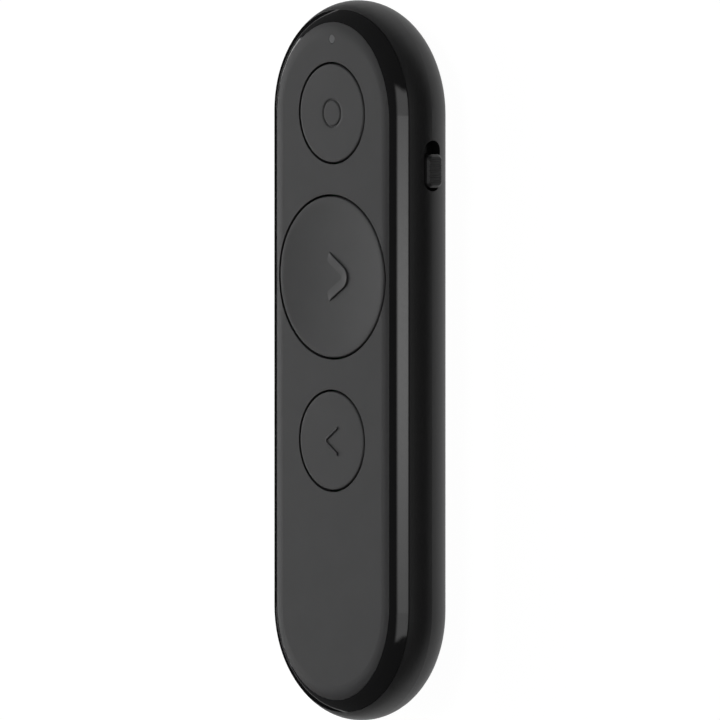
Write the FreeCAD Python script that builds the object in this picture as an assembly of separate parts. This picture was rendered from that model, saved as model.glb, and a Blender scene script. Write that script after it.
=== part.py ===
import FreeCAD, Part
import math
import os

# A pocket-size wireless presentation clicker, lying on its back. X is its width (the power
# slider is at +X), Y is its length (the laser end is at +Y) and Z points out of the button
# face. The origin is the middle of the flat back. Sizes are in millimetres.

V = FreeCAD.Vector

# Body
LENGTH = 108.0
WIDTH = 33.66
THICKNESS = 11.1
FRONT_FILLET = 5.4
WALL = 1.4
SEAM_DROP = 1.93
SEAM_GROOVE = 0.12
LIP_WALL = 0.5
LIP_DEPTH = 0.5
HOOK_BARB = 0.35
HOOK_LENGTH = 4.0
HOOK_SHARES = (-0.8, -0.25, 0.35, 0.95)

# Face plate
PLATE_BORDER = 3.77
PLATE_END_BORDER = 3.14
PLATE_END_REACH = 14.55
PLATE_THICKNESS = 1.0

# Buttons
BUTTON_GAP = 0.3
BIG_BUTTON_RIM = 0.95
SMALL_RADIUS = 7.4
POINTER_FROM_END = 16.8
BUTTON_SPACE = 5.04
DISH_DEPTH = 0.5
CAP_WALL = 1.0
CAP_TOP = 1.1
BUTTON_TRAVEL = 0.35
STEM_RADIUS = 1.5
LUG_REACH = 1.2
LUG_WIDTH = 3.0
LUG_THICKNESS = 0.55
RING_RADIUS = 2.0
RING_WIDTH = 0.4
RING_DEPTH = 0.15
MARK_HEIGHT = 0.2
MARK_SLOPE = 33.0

# The chevron marks: tip, round of the tip, stroke, and where the stroke's outer and inner lines end
NEXT_MARK = (3.6, 1.8, 0.8, -0.75, -1.19)
BACK_MARK = (1.57, 0.7, 0.5, -1.3, -1.3)

# Circuit board and what it carries
BOARD_THICKNESS = 1.0
BOARD_TO_SEAM = 1.57
BOARD_MARGIN = 3.63
SWITCH_SIDE = 5.2
SWITCH_HEIGHT = 1.0
PLUNGER_RADIUS = 1.0
PLUNGER_PROUD = 0.5
CHIP_TO_BUTTON = 10.0
CHIP_SIDE = 5.0
CHIP_HEIGHT = 0.9
CHIP_DOT = 0.35
PART_SPACE = 2.5
CRYSTAL_SIZE = (3.2, 2.5, 0.75)
CRYSTAL_ROUND = 0.4
CAPACITOR_SIZE = (1.6, 0.8, 0.5)
RESISTOR_SIZE = (1.0, 0.5, 0.4)
PASSIVE_ROWS = 5
PASSIVE_PITCH = 2.2
INDUCTOR_SIZE = (3.5, 2.8, 1.1)

# Status light
LIGHT_FROM_END = 5.7
LIGHT_RADIUS = 0.65
LIGHT_FOOT = 0.4
LED_SIZE = (1.6, 0.8, 0.6)

# Power slider in the right side
SLOT_FROM_END = 24.35
SLOT_LENGTH = 7.6
SLOT_WIDTH = 3.15
SLOT_DROP = 0.2
SLIDER_TRAVEL = 1.5
KNOB_LENGTH = 5.0
KNOB_WIDTH = 2.9
KNOB_PROUD = 0.65
KNOB_CORNER = 0.95
KNOB_BEVEL = 0.35
RIB_PITCH = 0.8
RIB_COUNT = 5
FLANGE_THICKNESS = 0.75
FLANGE_WIDTH = 3.9
PAD_THICKNESS = 0.55
PAD_MARGIN = 2.0
PAD_EDGE = 0.5
LEVER_SIDE = 1.2
LEVER_LENGTH = 2.3
LEVER_GRIP = 0.4
POWER_SWITCH_DEPTH = 3.6
POWER_SWITCH_LENGTH = 6.8
POWER_SWITCH_DROP = 1.3

# Battery bay, with a round twist door
CELL_RADIUS = 10.0
CELL_THICKNESS = 3.2
DOOR_THICKNESS = 1.0
DOOR_RECESS = 0.2
DOOR_FLANGE = 0.8
DOOR_TWIST = 40.0
DOOR_LUGS = 3
DOOR_LUG_ANGLE = 28.0
DOOR_LUG_REACH = 0.6
DOOR_LUG_THICKNESS = 0.7
DOOR_ENTRY_EASE = 2.0
DOOR_RING = 0.7
DOOR_LAND = 0.7
COIN_SLOT_WIDTH = 1.8
COIN_SLOT_DEPTH = 0.6
COIN_SLOT_REACH = 5.5
CELL_CAP_EDGE = 1.3
CELL_CAP_HEIGHT = 0.3
CONTACT_THICKNESS = 0.25
CONTACT_WIDTH = 3.0
CONTACT_NICHE = 1.6
CONTACT_LIFT = 0.4
LEAD_GAP = 0.3
LEAF_START = -4.0
LEAF_END = 4.7
DIMPLE_RADIUS = 1.2
DIMPLE_X = -2.0

# Laser
LASER_Z = 4.1
BARREL_RADIUS = 2.3
BARREL_LENGTH = 9.5
BARREL_FROM_WALL = 3.1
BEAM_RADIUS = 1.0
DIODE_RADIUS = 1.7
DIODE_LENGTH = 3.0
DIODE_LEG = 0.4
DIODE_LEG_BEND = 1.2
LENS_RADIUS = 1.5
LENS_SEAT = 2.2
LENS_SETBACK = 0.9
WINDOW_RADIUS = 1.5
WINDOW_WALL = 0.9
CRADLE_WALL = 0.6
CRADLE_END = 1.5

# Receiver bay in the back
RECEIVER_WIDTH = 14.4
RECEIVER_HEAD = 6.6
RECEIVER_THICKNESS = 5.2
PLUG_WIDTH = 12.0
PLUG_LENGTH = 12.4
PLUG_THICKNESS = 4.5
PLUG_SHEET = 0.3
PLUG_WINDOW = (2.5, 2.2)
PLUG_WINDOW_X = 2.3
PLUG_WINDOW_FROM_HEAD = 5.2
TONGUE_THICKNESS = 1.84
TONGUE_SETBACK = 0.5
STRIP_XS = (-3.5, -1.0, 1.0, 3.5)
STRIP_WIDTH = 1.0
STRIP_THICKNESS = 0.15
STRIP_FROM_HEAD = 3.0
STRIP_SETBACK = 1.2
HEAD_ROUND = 0.8
BAY_FROM_END = 7.2
BAY_WALL = 0.9
FINGER_SCOOP = 2.6
SCOOP_OFFSET = 0.6

# Screws and posts
SCREW_RADIUS = 0.95
SCREW_HEAD_RADIUS = 1.8
SCREW_HEAD_HEIGHT = 1.2
SCREW_RECESS = 1.2
SCREW_CROSS = (2.2, 0.4, 0.6)
SCREW_TIP = 0.5
POST_RADIUS = 2.7
BOSS_RADIUS = 1.9
PEG_RADIUS = 1.2
PEG_INSET = 0.8

# Clearances
THREAD = 0.02
EASY = 0.1
SNUG = 0.05
FREE = 0.2

# Heights and places that follow
END_RADIUS = WIDTH / 2
END_Y = LENGTH / 2 - END_RADIUS
WIDE_Z = THICKNESS - FRONT_FILLET
SEAM_Z = THICKNESS - SEAM_DROP
DECK_Z = THICKNESS - PLATE_THICKNESS
BOARD_TOP = SEAM_Z - BOARD_TO_SEAM
BOARD_BOTTOM = BOARD_TOP - BOARD_THICKNESS
BOARD_RADIUS = END_RADIUS - BOARD_MARGIN
PLATE_HALF = END_RADIUS - PLATE_BORDER
PLATE_APEX = LENGTH / 2 - PLATE_END_BORDER
RIM_RADIUS = END_RADIUS - FRONT_FILLET + math.sqrt((FRONT_FILLET - WALL) ** 2 - (SEAM_Z - WIDE_Z) ** 2)
LIP_RADIUS = RIM_RADIUS - EASY - LIP_WALL
STEM_BOTTOM = BOARD_TOP + SWITCH_HEIGHT + PLUNGER_PROUD
BIG_RADIUS = PLATE_HALF - BIG_BUTTON_RIM
BUTTON_PITCH = BIG_RADIUS + BUTTON_SPACE + SMALL_RADIUS
POINTER_Y = LENGTH / 2 - POINTER_FROM_END
NEXT_Y = POINTER_Y - BUTTON_PITCH
BACK_Y = NEXT_Y - BUTTON_PITCH
LIGHT_Y = LENGTH / 2 - LIGHT_FROM_END
SLOT_Y = LENGTH / 2 - SLOT_FROM_END
CHIP_Y = BACK_Y - SMALL_RADIUS - CHIP_TO_BUTTON
BUTTONS = {
    "pointer": (POINTER_Y, SMALL_RADIUS),
    "next": (NEXT_Y, BIG_RADIUS),
    "back": (BACK_Y, SMALL_RADIUS),
}
SCREW_YS = (
    (NEXT_Y + BIG_RADIUS + POINTER_Y - SMALL_RADIUS) / 2,
    (NEXT_Y - BIG_RADIUS + BACK_Y + SMALL_RADIUS) / 2,
)
DOOR_RADIUS = CELL_RADIUS + FREE + DOOR_RING + DOOR_LAND
DOOR_TOP = DOOR_RECESS + DOOR_THICKNESS
FLANGE_TOP = DOOR_TOP + SNUG + DOOR_FLANGE
LUG_BASE = FLANGE_TOP + SNUG
LUG_TOP = LUG_BASE + DOOR_LUG_THICKNESS
CELL_BOTTOM = DOOR_TOP + SNUG
CELL_TOP = CELL_BOTTOM + CELL_THICKNESS
BAY_CEILING = CELL_TOP + CONTACT_THICKNESS + FREE
BAY_ROOF = BAY_CEILING + BAY_WALL
NICHE_X = -CELL_RADIUS - FREE - CONTACT_NICHE
RECEIVER_BOTTOM = DOOR_RECESS
RECEIVER_MIDDLE = RECEIVER_BOTTOM + RECEIVER_THICKNESS / 2
RECEIVER_TOP = RECEIVER_BOTTOM + RECEIVER_THICKNESS
BAY_START_Y = BAY_FROM_END - LENGTH / 2
PLUG_START_Y = BAY_START_Y + RECEIVER_HEAD
BAY_END_Y = PLUG_START_Y + PLUG_LENGTH + 2 * EASY
SLOT_Z = WIDE_Z - SLOT_DROP
SLIDER_Y = SLOT_Y - SLIDER_TRAVEL / 2
PAD_FACE_X = END_RADIUS - WALL - PAD_THICKNESS
FLANGE_X = PAD_FACE_X - EASY - FLANGE_THICKNESS
BARREL_FRONT = LENGTH / 2 - WALL - BARREL_FROM_WALL
BARREL_BACK = BARREL_FRONT - BARREL_LENGTH
MOST = 4 * LENGTH


def box(x0, x1, y0, y1, z0, z1):
    return Part.makeBox(x1 - x0, y1 - y0, z1 - z0, V(x0, y0, z0))


def disc(radius, z0, z1, x=0.0, y=0.0):
    return Part.makeCylinder(radius, z1 - z0, V(x, y, z0))


def along_y(radius, y0, y1, z, x=0.0):
    return Part.makeCylinder(radius, y1 - y0, V(x, y0, z), V(0, 1, 0))


def fuse(*shapes):
    return shapes[0].multiFuse(list(shapes[1:])).removeSplitter()


def cut(shape, *tools):
    return shape.cut(list(tools)).removeSplitter()


def slab(z0, z1):
    return box(-MOST, MOST, -MOST, MOST, z0, z1)


def prism(wire, z0, z1):
    """A flat outline drawn at height 0, raised to fill z0 to z1."""
    face = Part.Face(wire)
    face.translate(V(0, 0, z0))
    return face.extrude(V(0, 0, z1 - z0))


def pill_outline(half_width, end_y):
    """A stadium along Y."""
    right = Part.LineSegment(V(half_width, -end_y, 0), V(half_width, end_y, 0))
    top = Part.Arc(V(half_width, end_y, 0), V(0, end_y + half_width, 0), V(-half_width, end_y, 0))
    left = Part.LineSegment(V(-half_width, end_y, 0), V(-half_width, -end_y, 0))
    foot = Part.Arc(V(-half_width, -end_y, 0), V(0, -end_y - half_width, 0), V(half_width, -end_y, 0))
    return Part.Wire([curve.toShape() for curve in (right, top, left, foot)])


def half_section(inset):
    """Half of the body's section in XZ: flat back and front, joined by two quarter rounds."""
    wide_x = END_RADIUS - inset
    back_x = END_RADIUS - WIDE_Z
    back_r = WIDE_Z - inset
    front_x = END_RADIUS - FRONT_FILLET
    front_r = FRONT_FILLET - inset
    corner = math.sqrt(0.5)
    low = V(back_x + back_r * corner, 0, WIDE_Z - back_r * corner)
    edge = Part.Arc(V(back_x, 0, inset), low, V(wide_x, 0, WIDE_Z))
    high = V(front_x + front_r * corner, 0, WIDE_Z + front_r * corner)
    front = Part.Arc(V(wide_x, 0, WIDE_Z), high, V(front_x, 0, THICKNESS - inset))
    foot = Part.LineSegment(V(0, 0, inset), V(back_x, 0, inset))
    top = Part.LineSegment(V(front_x, 0, THICKNESS - inset), V(0, 0, THICKNESS - inset))
    core = Part.LineSegment(V(0, 0, THICKNESS - inset), V(0, 0, inset))
    return Part.Face(Part.Wire([curve.toShape() for curve in (foot, edge, front, top, core)]))


def hollow_section():
    """Half of the space inside the back shell: straight chords within the outer curves."""
    back_x = END_RADIUS - WIDE_Z
    front_x = END_RADIUS - FRONT_FILLET
    back_r = WIDE_Z - WALL
    front_r = FRONT_FILLET - WALL
    rim_angle = math.asin((SEAM_Z - WIDE_Z) / front_r)
    points = [V(0, 0, WALL), V(back_x, 0, WALL)]
    for share in (1 / 3, 2 / 3, 1):
        angle = share * math.pi / 2
        points.append(V(back_x + back_r * math.sin(angle), 0, WIDE_Z - back_r * math.cos(angle)))
    for share in (1 / 2, 1):
        angle = share * rim_angle
        points.append(V(front_x + front_r * math.cos(angle), 0, WIDE_Z + front_r * math.sin(angle)))
    points.append(V(0, 0, SEAM_Z))
    return Part.Face(Part.makePolygon(points + [points[0]]))


def turned_pill(section):
    """A half section run along the straight sides and turned round each end."""
    straight = section.translated(V(0, -END_Y, 0)).extrude(V(0, 2 * END_Y, 0))
    top_end = section.revolve(V(0, 0, 0), V(0, 0, 1), 180).translated(V(0, END_Y, 0))
    foot_end = top_end.mirror(V(0, 0, 0), V(0, 1, 0))
    return fuse(straight, straight.mirror(V(0, 0, 0), V(1, 0, 0)), top_end, foot_end)


def pill_body(inset=0.0):
    """The body's outer form, or the same form with its surface moved inwards."""
    return turned_pill(half_section(inset))


def plate_outline(gap=0.0):
    """The face plate's edge: straight sides with a half ellipse at each end."""
    half = PLATE_HALF - gap
    start = PLATE_APEX - PLATE_END_REACH
    reach = PLATE_END_REACH - gap
    corner = math.sqrt(0.5)
    edges = []
    for way in (1, -1):
        for side in ((half, 0), (0, -half)):
            arc = Part.BezierCurve()
            if side[0]:
                poles = [V(way * half, way * start, 0), V(way * half, way * (start + reach), 0),
                         V(0, way * (start + reach), 0)]
            else:
                poles = [V(0, way * (start + reach), 0), V(-way * half, way * (start + reach), 0),
                         V(-way * half, way * start, 0)]
            arc.setPoles(poles)
            arc.setWeight(2, corner)
            edges.append(arc.toShape())
        edges.append(Part.LineSegment(V(-way * half, way * start, 0), V(-way * half, -way * start, 0)).toShape())
    return Part.Wire(edges)


def sector_lugs(inner, outer, z0, z1, centre_y, width, angles):
    """Short blocks on a ring, such as the lugs that hold a cap in."""
    ring = cut(disc(outer, z0, z1, y=centre_y), disc(inner, z0, z1, y=centre_y))
    bars = []
    for angle in angles:
        bar = box(0, outer + 1, -width / 2, width / 2, z0, z1)
        bar.rotate(V(0, 0, 0), V(0, 0, 1), angle)
        bar.translate(V(0, centre_y, 0))
        bars.append(bar)
    return ring.common(Part.Compound(bars))


def ring_sectors(inner, outer, z0, z1, centre_y, start, sweep, count):
    """Equal sectors of a ring, as a bayonet uses."""
    sectors = []
    for index in range(count):
        base = Part.makeCylinder(outer, z1 - z0, V(0, 0, z0), V(0, 0, 1), sweep)
        base = base.cut(disc(inner, z0, z1))
        base.rotate(V(0, 0, 0), V(0, 0, 1), start + index * 360.0 / count)
        base.translate(V(0, centre_y, 0))
        sectors.append(base)
    return sectors


def seam_groove(body):
    """The thin groove all round the body where the two housings meet."""
    ring = body.common(slab(SEAM_Z - SEAM_GROOVE / 2, SEAM_Z + SEAM_GROOVE / 2))
    return ring.cut(pill_body(SEAM_GROOVE))


def chevron(mark, way, centre_y, z0, z1):
    """A stroke bent round a tip that points along +X or, with way -1, along -X."""
    tip_x, tip_radius, stroke, outer_end, inner_end = mark
    slope = math.radians(MARK_SLOPE)
    bend_x = tip_x - tip_radius
    edges = []
    ends = []
    for radius, end_x in ((tip_radius, outer_end), (tip_radius - stroke, inner_end)):
        turn_x = bend_x + radius * math.sin(slope)
        turn_y = radius * math.cos(slope)
        end_y = turn_y + (turn_x - end_x) * math.tan(slope)
        tip = V(way * (bend_x + radius), 0, 0)
        high_turn, low_turn = V(way * turn_x, turn_y, 0), V(way * turn_x, -turn_y, 0)
        high_end, low_end = V(way * end_x, end_y, 0), V(way * end_x, -end_y, 0)
        edges.append(Part.LineSegment(high_end, high_turn).toShape())
        edges.append(Part.Arc(high_turn, tip, low_turn).toShape())
        edges.append(Part.LineSegment(low_turn, low_end).toShape())
        ends.append((high_end, low_end))
    for outer, inner in zip(*ends):
        edges.append(Part.LineSegment(outer, inner).toShape())
    stroke_shape = prism(Part.Wire(Part.__sortEdges__(edges)), z0, z1)
    return stroke_shape.translated(V(0, centre_y, 0))


def dish_tool():
    """The ball that leaves the thumb button's shallow dish."""
    radius = (BIG_RADIUS ** 2 + DISH_DEPTH ** 2) / (2 * DISH_DEPTH)
    return Part.makeSphere(radius, V(0, NEXT_Y, THICKNESS - DISH_DEPTH + radius))


def button_cap(name, body):
    """A hollow cap with its stem and retaining lugs, its top trimmed by the body's own front."""
    centre_y, radius = BUTTONS[name]
    cap_foot = SEAM_Z - SNUG - LUG_THICKNESS
    under_top = THICKNESS - CAP_TOP
    shell = cut(disc(radius, cap_foot, THICKNESS, y=centre_y),
                disc(radius - CAP_WALL, cap_foot, under_top, y=centre_y))
    lugs = sector_lugs(radius - CAP_WALL / 2, radius + LUG_REACH, cap_foot, SEAM_Z - SNUG, centre_y,
                       LUG_WIDTH, (45, 135, 225, 315))
    cap = fuse(shell, disc(STEM_RADIUS, STEM_BOTTOM, under_top + CAP_WALL / 4, y=centre_y), lugs)
    cap = cap.common(body)
    if name == "next":
        mark_top = THICKNESS - DISH_DEPTH + MARK_HEIGHT
        mark = chevron(NEXT_MARK, 1, centre_y, under_top + CAP_WALL / 4, mark_top)
        return fuse(cut(cap, dish_tool()), mark)
    if name == "back":
        mark = chevron(BACK_MARK, -1, centre_y, THICKNESS - CAP_WALL / 4, THICKNESS + MARK_HEIGHT)
        return fuse(cap, mark)
    groove_out = disc(RING_RADIUS + RING_WIDTH / 2, THICKNESS - RING_DEPTH, THICKNESS, y=centre_y)
    groove_in = disc(RING_RADIUS - RING_WIDTH / 2, THICKNESS - RING_DEPTH, THICKNESS, y=centre_y)
    return cut(cap, groove_out.cut(groove_in))


def switch_base(centre_y):
    """A tact switch's body, with the well that its plunger sinks into."""
    half = SWITCH_SIDE / 2
    base = box(-half, half, centre_y - half, centre_y + half, BOARD_TOP, BOARD_TOP + SWITCH_HEIGHT)
    well_floor = BOARD_TOP + SWITCH_HEIGHT / 4
    return cut(base, disc(PLUNGER_RADIUS + SNUG, well_floor, BOARD_TOP + SWITCH_HEIGHT, y=centre_y))


def switch_plunger(centre_y):
    bottom = BOARD_TOP + SWITCH_HEIGHT / 4 + BUTTON_TRAVEL + SNUG
    return disc(PLUNGER_RADIUS, bottom, STEM_BOTTOM, y=centre_y)


def face_plate(body):
    plate = body.common(prism(plate_outline(SNUG), DECK_Z, THICKNESS))
    holes = [disc(radius + BUTTON_GAP, DECK_Z, THICKNESS, y=y) for y, radius in BUTTONS.values()]
    holes.append(disc(LIGHT_RADIUS + SNUG, DECK_Z, THICKNESS, y=LIGHT_Y))
    return cut(plate, *holes)


def snap_hooks():
    """Hooks that spread under the back shell's inward-curving rim."""
    tip = BOARD_TOP + FREE
    hooks = []
    for side in (1, -1):
        for share in HOOK_SHARES:
            hook_y = share * END_Y
            root = LIP_RADIUS
            face = root + LIP_WALL
            points = [V(root, 0, SEAM_Z), V(face, 0, SEAM_Z), V(face, 0, SEAM_Z - LIP_DEPTH),
                      V(face + HOOK_BARB, 0, SEAM_Z - LIP_DEPTH * 1.5), V(face, 0, tip), V(root, 0, tip)]
            section = Part.Face(Part.makePolygon(points + [points[0]]))
            hook = section.extrude(V(0, HOOK_LENGTH, 0))
            hook.translate(V(0, hook_y - HOOK_LENGTH / 2, 0))
            if side < 0:
                hook = hook.mirror(V(0, 0, 0), V(1, 0, 0))
            hooks.append(hook)
    return hooks


def front_bezel(body):
    """The glossy upper housing: deck, rim, lip, hooks and the bosses that take the screws."""
    shell = body.common(slab(SEAM_Z, THICKNESS))
    shell = cut(shell, prism(plate_outline(), DECK_Z, THICKNESS), seam_groove(body))
    lip_in = pill_outline(LIP_RADIUS, END_Y)
    lip_out = pill_outline(LIP_RADIUS + LIP_WALL, END_Y)
    lip = cut(prism(lip_out, SEAM_Z - LIP_DEPTH, SEAM_Z), prism(lip_in, SEAM_Z - LIP_DEPTH, SEAM_Z))
    bosses = [disc(BOSS_RADIUS, BOARD_TOP, SEAM_Z, y=y) for y in SCREW_YS]
    pegs = [disc(PEG_RADIUS, BOARD_TOP, SEAM_Z, x=x, y=y) for x, y in peg_places()]
    shell = fuse(shell, lip, *(bosses + pegs + snap_hooks()))
    holes = [disc(radius + BUTTON_GAP, SEAM_Z, DECK_Z, y=y) for y, radius in BUTTONS.values()]
    holes.append(disc(LIGHT_RADIUS + SNUG, SEAM_Z, DECK_Z, y=LIGHT_Y))
    pilots = [disc(SCREW_RADIUS + THREAD, BOARD_TOP, DECK_Z - SCREW_TIP + FREE, y=y) for y in SCREW_YS]
    return cut(shell, *(holes + pilots))


def peg_places():
    """Where the board is held near its edges."""
    peg_x = BOARD_RADIUS - PEG_RADIUS - PEG_INSET
    return [(side * peg_x, y) for side in (-1, 1) for y in (POINTER_Y - PEG_RADIUS, BACK_Y - SMALL_RADIUS)]


def receiver_bay(extra, z1):
    half = RECEIVER_WIDTH / 2 + EASY + extra
    return box(-half, half, BAY_START_Y - EASY - extra, BAY_END_Y + extra, -1, z1)


def scoop(extra):
    """The finger notch beside the receiver's head, or with extra, the wall round it."""
    centre = BAY_START_Y + RECEIVER_HEAD / 2
    half = RECEIVER_HEAD / 3 + extra
    return along_y(FINGER_SCOOP + extra, centre - half, centre + half, 0, RECEIVER_WIDTH / 2 + SCOOP_OFFSET)


def contact_slot(x0, x1, extra, z0, z1):
    """A straight slot across the middle of the battery bay, wider than a contact by extra."""
    half = CONTACT_WIDTH / 2 + extra
    return box(x0, x1, NEXT_Y - half, NEXT_Y + half, z0, z1)


def back_shell_inside(body):
    """What stands inside the lower housing, before its bores and bays are cut."""
    battery_wall = disc(DOOR_RADIUS + EASY + BAY_WALL, 0, LUG_TOP + SNUG + BAY_WALL, y=NEXT_Y)
    cell_wall = disc(CELL_RADIUS + FREE + BAY_WALL, 0, BAY_ROOF, y=NEXT_Y)
    contact_wall = contact_slot(NICHE_X - BAY_WALL, 0, LEAD_GAP + BAY_WALL, LUG_TOP, BAY_ROOF)
    bay_wall = receiver_bay(BAY_WALL, RECEIVER_TOP + SNUG + BAY_WALL)
    cradle_half = BARREL_RADIUS + CRADLE_WALL
    cradle = box(-cradle_half, cradle_half, BARREL_BACK + CRADLE_END, BARREL_FRONT - CRADLE_END,
                 0, LASER_Z - BARREL_RADIUS / 2)
    nose = along_y(WINDOW_RADIUS + WINDOW_WALL, BARREL_FRONT + SNUG, LENGTH / 2, LASER_Z)
    posts = [disc(POST_RADIUS, 0, BOARD_BOTTOM, y=y) for y in SCREW_YS]
    pegs = [disc(PEG_RADIUS, 0, BOARD_BOTTOM, x=x, y=y) for x, y in peg_places()]
    pad_half = SLOT_LENGTH / 2 + PAD_MARGIN
    pad_rise = FLANGE_WIDTH / 2 + PAD_EDGE
    pad = box(PAD_FACE_X, END_RADIUS, SLOT_Y - pad_half, SLOT_Y + pad_half, SLOT_Z - pad_rise, SLOT_Z + pad_rise)
    under_board = body.common(slab(0, BOARD_BOTTOM))
    pieces = [battery_wall, cell_wall, contact_wall, bay_wall, scoop(BAY_WALL), cradle, nose] + posts + pegs
    return [piece.common(under_board) for piece in pieces] + [pad.common(body)]


def bayonet_cuts():
    """The round bay for the door and the cell, with the groove and entries for the door's lugs."""
    ring_outer = CELL_RADIUS + FREE + DOOR_RING + EASY
    lug_outer = ring_outer + DOOR_LUG_REACH
    door_gap = disc(DOOR_RADIUS + EASY, -1, DOOR_TOP + SNUG, y=NEXT_Y)
    ring_gap = disc(ring_outer, -1, LUG_TOP + SNUG, y=NEXT_Y)
    groove = disc(lug_outer, FLANGE_TOP, LUG_TOP + SNUG, y=NEXT_Y)
    cell_gap = disc(CELL_RADIUS + FREE, -1, BAY_CEILING, y=NEXT_Y)
    entry_start = DOOR_TWIST - DOOR_LUG_ANGLE / 2 - DOOR_ENTRY_EASE
    entry_sweep = DOOR_LUG_ANGLE + 2 * DOOR_ENTRY_EASE
    entries = ring_sectors(CELL_RADIUS, lug_outer, DOOR_TOP, FLANGE_TOP + SNUG, NEXT_Y,
                           entry_start, entry_sweep, DOOR_LUGS)
    return [door_gap, ring_gap, groove, cell_gap] + entries


def contact_cuts():
    """The niche for the contact at the cell's rim, and the holes for both contacts' legs."""
    niche = contact_slot(NICHE_X, 0, LEAD_GAP, LUG_TOP + SNUG + CONTACT_LIFT, BAY_CEILING)
    lead_width = 2 * LEAD_GAP + CONTACT_THICKNESS
    lead_foot = BAY_CEILING - BAY_WALL
    rim_lead = contact_slot(NICHE_X, NICHE_X + lead_width, EASY, lead_foot, BOARD_BOTTOM)
    leaf_lead_x = LEAF_END + LEAD_GAP - lead_width
    leaf_lead = contact_slot(leaf_lead_x, leaf_lead_x + lead_width, EASY, lead_foot, BOARD_BOTTOM)
    return [niche, rim_lead, leaf_lead]


def back_shell(body):
    """The lower housing: walls, battery bay, receiver bay, posts, laser cradle and switch pad."""
    shell = cut(body.common(slab(0, SEAM_Z)), turned_pill(hollow_section()))
    shell = fuse(shell, *back_shell_inside(body))
    head_top = SCREW_RECESS + SCREW_HEAD_HEIGHT
    head_gaps = [disc(SCREW_HEAD_RADIUS + EASY, -1, head_top, y=y) for y in SCREW_YS]
    shank_gaps = [disc(SCREW_RADIUS + EASY, -1, BOARD_BOTTOM, y=y) for y in SCREW_YS]
    barrel_gap = along_y(BARREL_RADIUS + SNUG, BARREL_BACK - SNUG, BARREL_FRONT + SNUG, LASER_Z)
    window_gap = along_y(WINDOW_RADIUS + SNUG, BARREL_FRONT, LENGTH, LASER_Z)
    slot = slot_prism(SLOT_LENGTH, SLOT_WIDTH, SLOT_Y, PAD_FACE_X - 1, END_RADIUS + 1)
    tools = [receiver_bay(0.0, RECEIVER_TOP + SNUG), scoop(0.0), barrel_gap, window_gap, slot, seam_groove(body)]
    return cut(shell, *(tools + bayonet_cuts() + contact_cuts() + head_gaps + shank_gaps))


def slot_prism(length, width, centre_y, x0, x1):
    """A stadium drawn on the side of the body and pushed through along X."""
    radius = width / 2
    reach = length / 2 - radius
    middle = box(x0, x1, centre_y - reach, centre_y + reach, SLOT_Z - radius, SLOT_Z + radius)
    ends = [Part.makeCylinder(radius, x1 - x0, V(x0, centre_y + way * reach, SLOT_Z), V(1, 0, 0))
            for way in (1, -1)]
    return fuse(middle, *ends)


def power_slider():
    """The ribbed knob, its neck through the slot and the flange that keeps it in."""
    top_x = END_RADIUS + KNOB_PROUD
    half_width = KNOB_WIDTH / 2
    knob = box(FLANGE_X, top_x, SLIDER_Y - KNOB_LENGTH / 2, SLIDER_Y + KNOB_LENGTH / 2,
               SLOT_Z - half_width, SLOT_Z + half_width)
    corners = [edge for edge in knob.Edges if edge.BoundBox.XLength > KNOB_PROUD]
    knob = knob.makeFillet(KNOB_CORNER, corners)
    rim = [edge for edge in knob.Edges if abs(edge.BoundBox.XMin - top_x) < 0.001]
    knob = knob.makeChamfer(KNOB_BEVEL, rim)
    half = SLOT_LENGTH / 2 + SLIDER_TRAVEL / 2 + PAD_EDGE
    flange = box(FLANGE_X, FLANGE_X + FLANGE_THICKNESS, SLIDER_Y - half, SLIDER_Y + half,
                 SLOT_Z - FLANGE_WIDTH / 2, SLOT_Z + FLANGE_WIDTH / 2)
    knob = fuse(knob, flange)
    grooves = []
    for index in range(RIB_COUNT):
        groove_y = SLIDER_Y + (index - (RIB_COUNT - 1) / 2) * RIB_PITCH
        groove_foot = V(top_x + RIB_PITCH / 16, groove_y, SLOT_Z - half_width)
        grooves.append(Part.makeCylinder(RIB_PITCH / 4, KNOB_WIDTH, groove_foot))
    return cut(knob, lever_box(SNUG), *grooves)


def lever_box(gap):
    """The power switch's lever, or the socket for it in the slider."""
    half = LEVER_SIDE / 2 + gap
    tip_x = FLANGE_X + LEVER_GRIP + gap
    return box(FLANGE_X + LEVER_GRIP - LEVER_LENGTH, tip_x, SLIDER_Y - half, SLIDER_Y + half,
               SLOT_Z - half, SLOT_Z + half)


def power_switch_base():
    """The slide switch under the board, with the slot that its lever runs in."""
    face_x = FLANGE_X - FREE
    half = POWER_SWITCH_LENGTH / 2
    base = box(face_x - POWER_SWITCH_DEPTH, face_x, SLOT_Y - half, SLOT_Y + half,
               SLOT_Z - POWER_SWITCH_DROP, BOARD_BOTTOM)
    run_half = LEVER_SIDE / 2 + SLIDER_TRAVEL / 2 + FREE
    run_rise = LEVER_SIDE / 2 + EASY
    run = box(face_x - LEVER_LENGTH, face_x, SLOT_Y - run_half, SLOT_Y + run_half,
              SLOT_Z - run_rise, SLOT_Z + run_rise)
    return cut(base, run)


def circuit_board():
    """The board, with holes for the screws and the contacts' legs."""
    board = prism(pill_outline(BOARD_RADIUS, END_Y), BOARD_BOTTOM, BOARD_TOP)
    holes = [disc(SCREW_RADIUS + EASY, BOARD_BOTTOM, BOARD_TOP, y=y) for y in SCREW_YS]
    return cut(board, *holes)


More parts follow.
